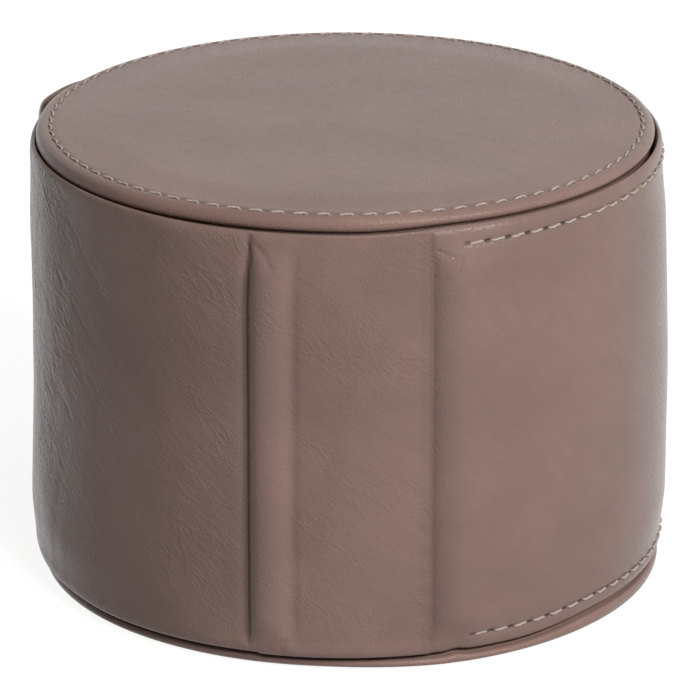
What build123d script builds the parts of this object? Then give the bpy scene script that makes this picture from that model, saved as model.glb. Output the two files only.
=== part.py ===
from build123d import *
import os
from math import atan2, cos, degrees, pi, radians, sin, sqrt

# Watch roll that stands on one end: two padded end discs, a curved fixed shell, a soft hinge panel
# and a closing flap around them, and a loose watch cushion inside.
# Millimetres. The origin is the centre of the face that the roll stands on, and +Z is the roll's axis.
# Angles are in degrees, counter-clockwise seen from above, from +X at the roll's right side.
# The front is at 270, and the flap opens on the front left.

# Driving sizes of the end discs
disc_radius = 50.0
roll_height = 75.6
disc_thickness = 8.0
disc_edge_roll = 2.3
disc_foam_thickness = 1.8
foam_roll_share = 0.9
disc_lining_thickness = 0.8
disc_lining_inset = 0.5
turn_in_width = 8.0

# Driving sizes of the sheet materials
leather_thickness = 0.8
lining_thickness = 0.4
flap_board_thickness = 0.5
padding_thickness = 1.5

# Clearances
fixed_clearance = 0.15
moving_clearance = 0.3
lining_margin = 1.0
hinge_gap = 0.4
seat_clearance = 0.3
inlay_clearance = 0.05

# Where the wrap stands between the two end faces
upper_reveal = 2.0
lower_reveal = 3.2
wrap_edge_round = 0.7

# Where each part of the wrap starts and ends
flap_tip_angle = 140.0
shell_end_angle = 157.0
ramp_inner_angle = 160.0
ramp_outer_angle = 171.0
left_crease_angle = 251.7
right_crease_angle = 285.5
padding_end_angle = 174.0
flap_corner_radius = 5.0

# Raised ribs
rib_width = 6.2
rib_height = 1.4
rib_end_margin = 4.0

# Saddle stitching
stitch_pitch = 3.6
stitch_length = 2.7
stitch_width = 0.62
stitch_thickness = 0.28
stitch_sink = 0.03
stitch_slant = 8.0
stitch_channel_width = 1.1
disc_stitch_inset = 2.0
wrap_stitch_inset = 2.7
first_stitch_from_rib = 3.2
last_stitch_from_end = 3.0

# Hidden magnetic closure
magnet_radius = 4.0
magnet_thickness = 0.8
strike_radius = 5.0
closure_angle = 149.0
closure_spacing = 34.0

# Watch cushion
cushion_half_length = 31.0
cushion_half_depth = 23.0
cushion_end_radius = 18.0
cushion_drawn_in = 3.2
cushion_setback = 4.0
cushion_cover_thickness = 0.9
cushion_plate_thickness = 2.0
cushion_plate_inset = 1.0
cushion_plate_bevel = 0.6

# Sizes that follow from the driving ones
wrap_radius = disc_radius + moving_clearance + lining_thickness + flap_board_thickness + leather_thickness
leather_inner = wrap_radius - leather_thickness
flap_board_inner = leather_inner - flap_board_thickness
flap_lining_inner = flap_board_inner - lining_thickness
shell_board_inner = disc_radius + fixed_clearance
padding_inner = flap_lining_inner - padding_thickness
interior_radius = padding_inner - lining_thickness
overlap_step = wrap_radius + moving_clearance - flap_lining_inner

stitch_channel_depth = stitch_thickness + stitch_sink
wrap_bottom = lower_reveal
wrap_top = roll_height - upper_reveal
wrap_middle = (wrap_bottom + wrap_top) / 2
inside_bottom = disc_thickness
inside_top = roll_height - disc_thickness
mouth_angle = (shell_end_angle + right_crease_angle) / 2
half_gap_angle = degrees(hinge_gap / 2 / wrap_radius)


def keep(shape, node):
    """Write one sub-part to its own file."""
    solids = shape.solids()
    part = solids[0] if len(solids) == 1 else Compound(children=list(solids))
    os.makedirs("parts", exist_ok=True)
    export_step(part, f"parts/{node}.step")


def sector(inner, outer, low, high, start, end, outer_round=0.0):
    """A band of the wrap: a rectangle turned about the roll's axis between two angles."""
    outline = Plane.XZ * Pos((inner + outer) / 2, (low + high) / 2) * Rectangle(outer - inner, high - low)
    if outer_round > 0:
        outer_corners = outline.vertices().sort_by(Axis.X)[-2:]
        outline = fillet(outer_corners, outer_round)
    return Rot(0, 0, start) * revolve(outline, Axis.Z, end - start)


def disc(radius, low, high):
    return Pos(0, 0, low) * Cylinder(radius, high - low, align=(Align.CENTER, Align.CENTER, Align.MIN))


# End discs

def end_cover():
    """Leather over the disc: flat face, rolled edge, side wall, and the edge turned in over the board."""
    turned_in_at = disc_thickness - disc_lining_thickness
    outside = disc(disc_radius, 0, turned_in_at)
    outside = fillet(outside.edges().group_by(Axis.Z)[0], disc_edge_roll)
    inside = disc(disc_radius - leather_thickness, leather_thickness, turned_in_at - leather_thickness)
    inside = fillet(inside.edges().group_by(Axis.Z)[0], disc_edge_roll - leather_thickness)
    mouth = disc(disc_radius - turn_in_width, turned_in_at - leather_thickness, turned_in_at)
    stitch_ring = disc_radius - disc_stitch_inset
    channel = sector(
        stitch_ring - stitch_channel_width / 2, stitch_ring + stitch_channel_width / 2,
        0, stitch_channel_depth, 0, 360,
    )
    return outside - inside - mouth - channel


def end_foam():
    """Thin foam that rounds the board under the leather."""
    low = leather_thickness
    foam = disc(disc_radius - leather_thickness, low, low + disc_foam_thickness)
    roll = min(disc_edge_roll - leather_thickness, disc_foam_thickness * foam_roll_share)
    return fillet(foam.edges().group_by(Axis.Z)[0], roll)


def end_board():
    """Stiff board, stepped at its rim so that the turned-in leather lies flush."""
    low = leather_thickness + disc_foam_thickness
    step = disc_thickness - disc_lining_thickness - leather_thickness
    rim = disc(disc_radius - leather_thickness, low, step)
    middle = disc(disc_radius - turn_in_width, step, step + leather_thickness)
    return rim + middle


def end_lining():
    """Suede disc that closes the inner face and hides the turned-in edge."""
    return disc(disc_radius - disc_lining_inset, disc_thickness - disc_lining_thickness, disc_thickness)


def stitch():
    """One stitch, a low six-sided bar with narrowed ends, standing on the plane it is sewn to."""
    end = stitch_length / 2
    shoulder = end - stitch_width / 2
    outline = Polyline(
        (-end, 0), (-shoulder, -stitch_width / 2), (shoulder, -stitch_width / 2),
        (end, 0), (shoulder, stitch_width / 2), (-shoulder, stitch_width / 2),
        close=True,
    )
    return extrude(make_face(outline), stitch_thickness)


def end_stitching():
    """The ring of saddle stitches, seated in its channel in the outer face."""
    ring = disc_radius - disc_stitch_inset
    count = round(2 * pi * ring / stitch_pitch)
    bar = Rot(180, 0, 0) * stitch()
    stitches = []
    for index in range(count):
        place = Rot(0, 0, index * 360 / count) * Pos(ring, 0, stitch_channel_depth)
        stitches.append(place * Rot(0, 0, 90 + stitch_slant) * bar)
    return Compound(children=stitches)


# Ribs

def rib_profile_radius():
    """Radius of the circle whose crown is rib_width wide and rib_height high."""
    return ((rib_width / 2) ** 2 + rib_height ** 2) / (2 * rib_height)


def rib_bar(shrink, start):
    """A round-ended bar, sunk in the wrap beside a crease, of which the crown outside the board is kept."""
    swell_radius = rib_profile_radius()
    sunk = wrap_radius + rib_height - swell_radius
    middle = start + degrees(rib_width / 2 / wrap_radius)
    length = wrap_top - wrap_bottom - 2 * rib_end_margin - rib_width
    bar = Cylinder(swell_radius - shrink, length)
    bar += Pos(0, 0, length / 2) * Sphere(swell_radius - shrink)
    bar += Pos(0, 0, -length / 2) * Sphere(swell_radius - shrink)
    beyond = start + degrees(2 * rib_width / wrap_radius)
    crown = sector(leather_inner, wrap_radius + 2 * rib_height, wrap_bottom, wrap_top, start, beyond)
    return Rot(0, 0, middle) * Pos(sunk, 0, wrap_middle) * bar & crown


def rib_swell(start):
    """The leather raised over the strip."""
    return rib_bar(0, start)


def rib_strip(start):
    """The half-round strip that raises the leather."""
    return rib_bar(leather_thickness, start)


# Wrap: stitch rows along the shell's edges

def row_angles():
    """Angles of the stitches along one edge of the shell."""
    rib_side = right_crease_angle - 360 + degrees((rib_width + first_stitch_from_rib) / wrap_radius)
    end_side = shell_end_angle - degrees(last_stitch_from_end / wrap_radius)
    count = round(radians(end_side - rib_side) * wrap_radius / stitch_pitch)
    return [rib_side + index * (end_side - rib_side) / count for index in range(count + 1)]


def row_channel(height):
    angles = row_angles()
    floor = wrap_radius - stitch_channel_depth
    margin = degrees(stitch_pitch / 2 / wrap_radius)
    return sector(
        floor, wrap_radius + rib_height,
        height - stitch_channel_width / 2, height + stitch_channel_width / 2,
        angles[0] - margin, angles[-1] + margin,
    )


def row_stitching(height):
    """Saddle stitches that stand in the channel, each square to the curved face."""
    floor = wrap_radius - stitch_channel_depth
    bar = Rot(0, 90, 0) * Rot(0, 0, 90 - stitch_slant) * stitch()
    return Compound(children=[Rot(0, 0, angle) * Pos(floor, 0, height) * bar for angle in row_angles()])


# Wrap: fixed shell, from the right crease round the back to its end under the flap

shell_start = right_crease_angle - 360 + half_gap_angle
shell_leather_cap = degrees(leather_thickness / wrap_radius)
lining_cap = degrees(lining_thickness / padding_inner)
row_heights = (wrap_bottom + wrap_stitch_inset, wrap_top - wrap_stitch_inset)


def board_space(inner, outer, start, end):
    """The room for a board inside leather that is turned over its upper and lower edges."""
    return sector(inner, outer, wrap_bottom + leather_thickness, wrap_top - leather_thickness, start, end)


def shell_leather():
    """Outer leather, turned over the board's upper, lower and end edges, raised over the right rib."""
    skin = sector(
        shell_board_inner, wrap_radius, wrap_bottom, wrap_top, shell_start, shell_end_angle, wrap_edge_round,
    )
    skin += rib_swell(shell_start)
    skin -= board_space(shell_board_inner, leather_inner, shell_start, shell_end_angle - shell_leather_cap)
    skin -= rib_strip(shell_start)
    for height in row_heights:
        skin -= row_channel(height)
    return skin


def shell_board():
    return board_space(shell_board_inner, leather_inner, shell_start, shell_end_angle - shell_leather_cap)


def closure_seat(radius, inner, outer, height):
    """A round seat across the wrap's thickness, square to it."""
    seat = Rot(0, 90, 0) * Cylinder(radius, outer - inner)
    return Rot(0, 0, closure_angle) * Pos((inner + outer) / 2, 0, height) * seat


closure_heights = (wrap_middle - closure_spacing / 2, wrap_middle + closure_spacing / 2)


def magnet_reach():
    """How far out a flat magnet may lie under the curved board."""
    return sqrt((shell_board_inner - inlay_clearance) ** 2 - magnet_radius ** 2)


def shell_magnets():
    outer = magnet_reach()
    inner = outer - magnet_thickness
    seats = [closure_seat(magnet_radius, inner, outer, height) for height in closure_heights]
    return Compound(children=seats)


def shell_inside(inner, outer, end):
    """A layer on the shell's inside, between the two end discs."""
    low = inside_bottom + fixed_clearance
    high = inside_top - fixed_clearance
    return sector(inner, outer, low, high, shell_start, end)


def shell_padding():
    """Foam between board and lining, between the two end discs, with a pocket for each magnet."""
    padding = shell_inside(padding_inner, shell_board_inner, shell_end_angle - lining_cap)
    for height in closure_heights:
        outer = magnet_reach()
        padding -= closure_seat(
            magnet_radius + inlay_clearance, outer - magnet_thickness - inlay_clearance, wrap_radius, height,
        )
    return padding


def shell_lining():
    """Suede lining, turned over the padding at the shell's end."""
    layer = shell_inside(interior_radius, padding_inner, shell_end_angle)
    return layer + shell_inside(padding_inner, shell_board_inner, shell_end_angle) - shell_inside(
        padding_inner, shell_board_inner, shell_end_angle - lining_cap,
    )


# Wrap: hinge panel between the two creases

panel_start = left_crease_angle + half_gap_angle
panel_end = right_crease_angle - half_gap_angle
pad_low = inside_bottom + seat_clearance
pad_high = inside_top - seat_clearance


def panel_leather():
    """Outer leather, turned over the board's upper and lower edges, raised over the left rib."""
    skin = sector(
        flap_board_inner, wrap_radius, wrap_bottom, wrap_top, panel_start, panel_end, wrap_edge_round,
    )
    skin -= board_space(flap_board_inner, leather_inner, panel_start, panel_end)
    skin += rib_swell(panel_start)
    return skin - rib_strip(panel_start)


def panel_board():
    return board_space(flap_board_inner, leather_inner, panel_start, panel_end)


def raised_pad(start, end):
    """Foam that fills the wrap's inside between the end discs."""
    return sector(
        padding_inner, flap_lining_inner, pad_low + lining_thickness, pad_high - lining_thickness, start, end,
    )


def lining_over_pad(start, end):
    """Lining that steps in over the padding."""
    return sector(interior_radius, flap_lining_inner, pad_low, pad_high, start, end)


def panel_padding():
    return raised_pad(panel_start, panel_end)


def panel_lining():
    """Lining, set in from the turned edges, that steps in over the padding."""
    flat = sector(
        flap_lining_inner, flap_board_inner, wrap_bottom + lining_margin, wrap_top - lining_margin,
        panel_start, panel_end,
    )
    return flat + lining_over_pad(panel_start, panel_end) - panel_padding()


# Wrap: closing flap, which steps outward near its tip to lie over the shell's end

flap_end = left_crease_angle - half_gap_angle


def flap_edge(radius, start_angle):
    """One face of the flap seen from above, from the left crease to start_angle near the tip."""
    def at(angle, distance):
        return Vector(distance * cos(radians(angle)), distance * sin(radians(angle)))

    def forward(angle):
        return Vector(sin(radians(angle)), -cos(radians(angle)))

    outer = radius + overlap_step
    body = ThreePointArc(
        at(flap_end, radius), at((flap_end + ramp_outer_angle) / 2, radius), at(ramp_outer_angle, radius),
    )
    ramp = Spline(
        at(ramp_outer_angle, radius), at(ramp_inner_angle, outer),
        tangents=(forward(ramp_outer_angle), forward(ramp_inner_angle)),
    )
    tip = ThreePointArc(
        at(ramp_inner_angle, outer), at((ramp_inner_angle + start_angle) / 2, outer), at(start_angle, outer),
    )
    return body + ramp + tip


def direction_from_axis(point):
    return Vector(point.X, point.Y, 0).normalized()


def angle_of(point):
    return degrees(atan2(point.Y, point.X))


def flap_sheet(inner, outer, low, high, tip_angle, corner_radius):
    """A sheet of the flap between two faces, from the left crease to its round-cornered tip."""
    inner_edge = flap_edge(inner, tip_angle)
    outer_edge = flap_edge(outer, tip_angle)
    hinge_side = Line(inner_edge @ 0, outer_edge @ 0)
    tip_side = Line(inner_edge @ 1, outer_edge @ 1)
    outline = make_face(inner_edge.edges() + outer_edge.edges() + hinge_side.edges() + tip_side.edges())
    sheet = Pos(0, 0, low) * extrude(outline, high - low, dir=(0, 0, 1))
    corners = []
    for edge in sheet.edges():
        middle = edge.center()
        through = abs(edge.tangent_at().dot(direction_from_axis(middle))) > mostly
        if through and abs(angle_of(middle) - tip_angle) < half_gap_angle:
            corners.append(edge)
    return fillet(corners, corner_radius)


mostly = 0.5
tip_zone_angle = degrees(flap_corner_radius / wrap_radius)
flap_cap_angle = degrees(leather_thickness / (wrap_radius + overlap_step))


def faces_outward(face):
    return face.normal_at().dot(direction_from_axis(face.center())) > mostly


def flap_leather():
    """Outer leather, turned over the board's upper, lower and tip edges, which are rounded."""
    skin = flap_sheet(
        flap_board_inner, wrap_radius, wrap_bottom, wrap_top, flap_tip_angle, flap_corner_radius,
    )
    rims = []
    for face in skin.faces().filter_by(faces_outward):
        for edge in face.edges():
            upright = abs(edge.tangent_at().Z) > mostly
            at_tip = abs(angle_of(edge.center()) - flap_tip_angle) < tip_zone_angle
            if at_tip or not upright:
                rims.append(edge)
    return fillet(rims, wrap_edge_round) - flap_board_blank()


def flap_board_blank():
    low = wrap_bottom + leather_thickness
    high = wrap_top - leather_thickness
    return flap_sheet(
        flap_board_inner, leather_inner, low, high, flap_tip_angle + flap_cap_angle,
        flap_corner_radius - leather_thickness,
    )


def strike_seat(radius, height):
    """A round seat through every layer of the flap where it lies over the shell."""
    return closure_seat(radius, flap_lining_inner + overlap_step, wrap_radius + overlap_step, height)


def flap_board():
    board = flap_board_blank()
    for height in closure_heights:
        board -= strike_seat(strike_radius + inlay_clearance, height)
    return board


def flap_strikes():
    """Two thin steel discs, bent to the flap's curve, set in holes in its board."""
    layer = sector(
        flap_board_inner + overlap_step, leather_inner + overlap_step,
        wrap_bottom, wrap_top, flap_tip_angle, ramp_inner_angle,
    )
    return Compound(children=[layer & strike_seat(strike_radius, height) for height in closure_heights])


def flap_padding():
    return raised_pad(padding_end_angle, flap_end)


def flap_lining():
    """Lining, set in from the turned edges, that steps in over the padding."""
    flat = flap_sheet(
        flap_lining_inner, flap_board_inner, wrap_bottom + lining_margin, wrap_top - lining_margin,
        flap_tip_angle + degrees(lining_margin / wrap_radius), flap_corner_radius - lining_margin,
    )
    return flat + lining_over_pad(padding_end_angle - lining_cap, flap_end) - flap_padding()


# Watch cushion

def oval(half_length, half_depth, end_radius, height):
    """Four tangent arcs: two tight ones at the ends and two flatter ones along the sides."""
    spread = half_length ** 2 + half_depth ** 2 - 2 * half_length * end_radius
    side_radius = spread / (2 * (half_depth - end_radius))
    side_drop = side_radius - half_depth
    lean = atan2(half_length - end_radius, side_drop)
    join_x = side_radius * sin(lean)
    join_y = side_radius * cos(lean) - side_drop
    upper = ThreePointArc((-join_x, join_y), (0, half_depth), (join_x, join_y))
    right = ThreePointArc((join_x, join_y), (half_length, 0), (join_x, -join_y))
    lower = ThreePointArc((join_x, -join_y), (0, -half_depth), (-join_x, -join_y))
    left = ThreePointArc((-join_x, -join_y), (-half_length, 0), (-join_x, join_y))
    return Pos(0, 0, height) * make_face([upper, right, lower, left])


cushion_low = inside_bottom + seat_clearance
cushion_high = inside_top - seat_clearance
plate_low = cushion_low + cushion_plate_thickness
plate_high = cushion_high - cushion_plate_thickness


def cushion_form(shrink):
    """Crowned body between the end plates, fullest at mid length and drawn in at both ends."""
    middle = (plate_low + plate_high) / 2
    sections = []
    for height, drawn in (
        (plate_low, cushion_drawn_in + shrink), (middle, shrink), (plate_high, cushion_drawn_in + shrink),
    ):
        sections.append(oval(
            cushion_half_length - drawn, cushion_half_depth - drawn, cushion_end_radius - drawn, height,
        ))
    return loft(sections)


def in_place(shape):
    """Set the cushion behind the roll's axis, its flatter side to the mouth."""
    back = mouth_angle + 180
    return Rot(0, 0, back) * Pos(cushion_setback, 0, 0) * Rot(0, 0, 90) * shape


def cushion_foam():
    return in_place(cushion_form(cushion_cover_thickness))


def cushion_cover():
    return in_place(cushion_form(0) - cushion_form(cushion_cover_thickness))


def cushion_plate(low):
    drawn = cushion_drawn_in + cushion_plate_inset
    outline = oval(
        cushion_half_length - drawn, cushion_half_depth - drawn, cushion_end_radius - drawn, low,
    )
    plate = extrude(outline, cushion_plate_thickness, dir=(0, 0, 1))
    levels = plate.edges().group_by(Axis.Z)
    return in_place(chamfer(levels[0] + levels[-1], cushion_plate_bevel))


def as_upper_end(shape):
    """The upper disc is the lower one turned over."""
    return Pos(0, 0, roll_height) * Rot(180, 0, 0) * shape


for name, shape in (
    ("cover", end_cover()), ("foam", end_foam()), ("board", end_board()), ("lining", end_lining()),
    ("stitching", end_stitching()),
):
    keep(shape, f"lower_end_{name}")
    keep(as_upper_end(shape), f"upper_end_{name}")

keep(shell_leather(), "shell_leather")
keep(shell_board(), "shell_board")
keep(shell_padding(), "shell_padding")
keep(shell_lining(), "shell_lining")
keep(shell_magnets(), "shell_magnets")
keep(row_stitching(row_heights[0]), "shell_lower_stitching")
keep(row_stitching(row_heights[1]), "shell_upper_stitching")
keep(rib_strip(shell_start), "right_rib_strip")

keep(panel_leather(), "panel_leather")
keep(panel_board(), "panel_board")
keep(panel_padding(), "panel_padding")
keep(panel_lining(), "panel_lining")
keep(rib_strip(panel_start), "left_rib_strip")

keep(flap_leather(), "flap_leather")
keep(flap_board(), "flap_board")
keep(flap_strikes(), "flap_strikes")
keep(flap_padding(), "flap_padding")
keep(flap_lining(), "flap_lining")

keep(cushion_cover(), "cushion_cover")
keep(cushion_foam(), "cushion_foam")
keep(cushion_plate(cushion_low), "cushion_lower_plate")
keep(cushion_plate(plate_high), "cushion_upper_plate")
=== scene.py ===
import math

import bpy
import numpy as np
from mathutils import Matrix, Vector


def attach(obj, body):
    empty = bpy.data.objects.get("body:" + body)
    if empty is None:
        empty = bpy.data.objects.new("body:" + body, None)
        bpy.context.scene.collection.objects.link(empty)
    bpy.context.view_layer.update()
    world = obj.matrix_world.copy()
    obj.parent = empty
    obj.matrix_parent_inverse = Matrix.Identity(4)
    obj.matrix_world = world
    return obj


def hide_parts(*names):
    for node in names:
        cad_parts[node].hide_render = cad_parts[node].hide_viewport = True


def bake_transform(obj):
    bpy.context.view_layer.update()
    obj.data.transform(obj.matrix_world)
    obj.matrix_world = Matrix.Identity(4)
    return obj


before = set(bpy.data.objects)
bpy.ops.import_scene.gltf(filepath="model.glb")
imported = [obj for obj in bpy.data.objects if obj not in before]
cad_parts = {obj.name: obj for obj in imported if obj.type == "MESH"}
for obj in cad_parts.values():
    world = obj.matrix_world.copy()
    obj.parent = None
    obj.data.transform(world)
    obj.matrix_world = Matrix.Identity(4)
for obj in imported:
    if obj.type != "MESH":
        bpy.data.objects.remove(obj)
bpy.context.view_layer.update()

# A watch roll in smooth brown leather. Sizes are in millimetres until mesh_object turns them into
# metres. Angles are in degrees, counter-clockwise seen from above, with the front at 270.
MM = 0.001

DISC_RADIUS = 50.0
ROLL_HEIGHT = 75.6
DISC_THICKNESS = 8.0
DISC_LINING = 0.8
DISC_LIP_WIDTH = 1.9
DISC_LIP_DEPTH = 1.5
DISC_UNDERCUT = (0.65, 0.8)
TURN_IN_WIDTH = 8.0
LEATHER = 0.8

WRAP_RADIUS = 52.0
WRAP_BOTTOM = 3.2
WRAP_TOP = 73.6
ROLL_MIDDLE = (WRAP_BOTTOM + WRAP_TOP) / 2
EDGE_SHARE = 0.58
EDGE_TURNED_IN = 0.33
SHELL_THICKNESS = 1.85
FLAP_THICKNESS = 1.3
OVERLAP_STEP = 2.0
FLAP_TIP_ANGLE = 140.0
RAMP_ANGLES = (159.5, 171.5)
LEFT_CREASE_ANGLE = 251.7
RIGHT_CREASE_ANGLE = 285.5
SHELL_END_ANGLE = 517.0
PANEL_SPLIT_ANGLE = 268.6
SHELL_SPLIT_ANGLE = 420.0
FOLD_OFFSETS = (0.73, -0.6)
END_ROUNDING = 1.6
FLAP_CORNER = 5.0
SHELL_CORNER = 1.3

STITCH_PITCH = 3.6
DISC_STITCH_SLANT = 4.0
ROW_STITCH_SLANT = -2.0
DISC_STITCH_RADIUS = 48.0
DISC_SEAM_DEPTHS = {"upper": 0.20, "lower": 0.45}
DISC_STITCH_SINKS = {"upper": 0.14, "lower": 0.50}
DISC_GRAIN_LEVEL = 200
POINTS_PER_STITCH = 14
ROW_HEIGHTS = (WRAP_BOTTOM + 2.7, WRAP_TOP - 2.7)
ROW_STARTS = (7.9, 6.7)
ROW_END_MARGIN = 3.0
ROW_STITCHES = 56

PAD_LOW = 8.3
PAD_HIGH = 67.3
PAD_INNER = 48.4
PAD_END_ANGLE = 173.5
LINING_INNER = 50.3
LINING_MARGIN = 1.0
FACING_TUCK = 0.3

CUSHION_HALF_LENGTH = 31.0
CUSHION_HALF_DEPTH = 23.0
CUSHION_END_RADIUS = 18.0
CUSHION_DRAWN_IN = 3.2
CUSHION_SETBACK = 4.0
CUSHION_MEAN_REACH = 27
CUSHION_LOW = 12.3
CUSHION_HIGH = 63.3
MOUTH_ANGLE = 221.25

LEATHER_COLOUR = (0.288, 0.190, 0.162)
DISC_COLOUR = (0.315, 0.200, 0.168)
LINING_COLOUR = (0.40, 0.22, 0.145)
THREAD_COLOUR = (0.57, 0.475, 0.43)
CUSHION_COLOUR = (0.40, 0.25, 0.17)

# The two creases, left and right: how deep they are, and how dark the painted shade in them is.
# Then how deep the panel lies between them.
CREASE_DEPTHS = (0.45, 0.20)
CREASE_SHADES = (0.44, 0.30)
PANEL_DEPTH = 0.35

# The mean of the lower edge's rises, from which they are counted. Then where the wrap's uneven
# edges begin to tell: a height, and the reach over which they do so.
LOWER_EDGE_MEAN = 0.62
UPPER_ZONE = (64, 9)
LOWER_ZONE = (14, 11)

# Folds over the ends of the ribs: strength, middle (from the rib's crease, and height), heading,
# length, width and bow
LEFT_RIB_FOLDS = (
    (0.8, (3.4, 69.6), 122, 6.5, 0.45, 0.5),
    (0.9, (0.7, 69.8), 100, 5.0, 0.22, 0.2),
    (0.8, (5.8, 4.8), 62, 3.6, 0.35),
)
RIGHT_RIB_FOLDS = (
    (1, (1.6, 70.0), -20, 2.4, 0.2),
    (1, (2.8, 69.25), 5, 2.4, 0.2),
    (1, (4.0, 68.5), 30, 2.4, 0.2),
    (1, (4.4, 67.75), 55, 2.4, 0.2),
)

# Worn creases: strength, seed, count, the angles and the heights between which they lie, heading,
# spread, longest and width
WORN_CREASES = (
    (1.0, 21, 34, (176, 216), (36, 71), -37, 12, 13, 0.42),
    (0.6, 22, 30, (176, 216), (10, 58), -30, 20, 9, 0.40),
    (0.35, 23, 26, (205, 249), (24, 70), -42, 12, 12, 0.42),
    (0.22, 24, 24, (259, 284), (8, 70), -28, 14, 9, 0.40),
    (0.5, 25, 14, (259.5, 266), (34, 68), -42, 12, 5, 0.34),
)

# Lamps: place and width in metres, and power in watts
LAMPS = {
    "key": ((0.44, -1.15, 0.90), 0.28, 7.8),
    "side": ((0.92, -0.80, 0.92), 0.28, 9.4),
    "overhead": ((0.39, -0.47, 1.41), 0.80, 3.2),
}


# Shapes made from grids of points

def smooth(share):
    """0 below 0, 1 above 1, and an even curve between."""
    held = np.clip(share, 0, 1)
    return held * held * (3 - 2 * held)


def rising(value, start, reach):
    """0 up to start, 1 from start + reach on, and an even curve between."""
    return smooth((value - start) / reach)


def falling(value, end, reach):
    """1 up to end - reach, 0 from end on, and an even curve between."""
    return smooth((end - value) / reach)


def bell(offset, width):
    """1 in the middle and about 0 past twice the width."""
    return np.exp(-(offset / width) ** 2)


def stacked(*parts):
    """One array of points or corners from its parts, of which some may be single numbers."""
    return np.stack(np.broadcast_arrays(*parts), axis=-1)


def grid(down, across):
    """Two grids of the same shape, one with each row's value and one with each column's."""
    return np.meshgrid(down, across, indexing="ij")


def round_axis(radius, angle, height):
    """Points at a distance from the roll's axis, an angle in radians and a height."""
    return stacked(radius * np.cos(angle), radius * np.sin(angle), height)


def directions(turn, flip=1):
    """Outward from the roll's axis, and onward round it; flip is -1 as seen from below."""
    outward = np.array([math.cos(turn), flip * math.sin(turn), 0])
    return outward, np.array([-math.sin(turn), flip * math.cos(turn), 0])


def arc_length(angle):
    return math.radians(angle) * WRAP_RADIUS


# Places along the wrap: the leather folds a little beside its hinges
LEFT_FOLD = arc_length(LEFT_CREASE_ANGLE) + FOLD_OFFSETS[0]
RIGHT_FOLD = arc_length(RIGHT_CREASE_ANGLE) + FOLD_OFFSETS[1]
FLAP_TIP = arc_length(FLAP_TIP_ANGLE)
SHELL_END = arc_length(SHELL_END_ANGLE)


def graded(start, end, coarse, spots, fine, growth=0.12):
    """Stations from start to end that crowd together near each spot."""
    stations = [start]
    while stations[-1] < end:
        nearest = min(abs(stations[-1] - spot) for spot in spots)
        stations.append(stations[-1] + min(coarse, fine + growth * nearest))
    stations = np.array(stations)
    return start + (stations - start) * (end - start) / (stations[-1] - start)


def ripples(across, along, seed, shortest, longest, waves=14):
    """Soft unevenness of about -1 to 1: waves of random heading added together."""
    dice = np.random.default_rng(seed)
    total = np.zeros_like(across)
    for _ in range(waves):
        length = shortest * (longest / shortest) ** dice.random()
        heading = 2 * math.pi * dice.random()
        phase = 2 * math.pi * dice.random()
        travelled = across * math.cos(heading) + along * math.sin(heading)
        total = total + np.sin(2 * math.pi * travelled / length + phase)
    return total / math.sqrt(waves)


def crease(across, along, centre, heading, length, width, bow=0.0):
    """How deep a point lies in one crease, from 0 outside it to 1 in its middle."""
    right, up = across - centre[0], along - centre[1]
    turn = math.radians(heading)
    lengthwise = (right * math.cos(turn) + up * math.sin(turn)) / (length / 2)
    sideways = up * math.cos(turn) - right * math.sin(turn) - bow * lengthwise ** 2
    return bell(sideways, width) * smooth(1.6 * (1 - lengthwise ** 2))


def creases(across, along, seed, count, region, heading, spread, longest, width):
    """Many fine creases of random place in a region, which run about one way."""
    dice = np.random.default_rng(seed)
    total = np.zeros_like(across)
    for _ in range(count):
        centre = (dice.uniform(*region[0]), dice.uniform(*region[1]))
        turn = heading + spread * dice.standard_normal()
        length = longest * dice.uniform(0.4, 1.0)
        bow = dice.uniform(-0.9, 0.9)
        strength = dice.uniform(0.4, 1.0)
        total = total + strength * crease(across, along, centre, turn, length, width, bow)
    return total


def grid_normals(points, closed):
    """Normals of a grid of points; closed says whether its second direction meets itself."""
    first = np.gradient(points, axis=0)
    if closed:
        second = np.roll(points, -1, axis=1) - np.roll(points, 1, axis=1)
    else:
        second = np.gradient(points, axis=1)
    normals = np.cross(second, first)
    return normals / np.maximum(np.linalg.norm(normals, axis=2, keepdims=True), 1e-9)


def grid_faces(rows, columns, closed, wrapped=False):
    """Four-sided faces of a grid whose points are stored row by row."""
    across = np.arange(columns if closed else columns - 1)
    down = np.arange(rows if wrapped else rows - 1)
    first, second = grid(down, across)
    after = (second + 1) % columns
    below = (first + 1) % rows
    near, far = first * columns, below * columns
    return stacked(near + second, near + after, far + after, far + second).reshape(-1, 4)


def store_places(mesh, places):
    """Keep with each point of a mesh where its material takes it to lie."""
    stored = mesh.attributes.get("surface") or mesh.attributes.new("surface", "FLOAT_VECTOR", "POINT")
    stored.data.foreach_set("vector", places.astype(np.float32).ravel())


def store_mark(mesh, mark, values):
    """Keep a number with each point of a mesh, for its material to read."""
    stored = mesh.attributes.new(mark, "FLOAT", "POINT")
    stored.data.foreach_set("value", values.astype(np.float32).ravel())


def placed(name, data):
    """A new object in the scene."""
    made = bpy.data.objects.new(name, data)
    bpy.context.scene.collection.objects.link(made)
    return made


def mesh_object(name, points, faces, normals=None, marks=None, surface=None):
    """A smooth-shaded object from points in millimetres, with what its material reads of each point."""
    points = points.reshape(-1, 3)
    mesh = bpy.data.meshes.new(name)
    mesh.from_pydata((points * MM).tolist(), [], faces if isinstance(faces, list) else faces.tolist())
    mesh.shade_smooth()
    store_places(mesh, points if surface is None else surface.reshape(-1, 3))
    for mark, values in (marks or {}).items():
        store_mark(mesh, mark, values)
    mesh.update()
    if normals is not None:
        mesh.normals_split_custom_set_from_vertices(normals.reshape(-1, 3).tolist())
    return placed(name, mesh)


def finished(piece, material):
    piece.data.materials.append(material)
    return piece


# Materials

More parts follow.
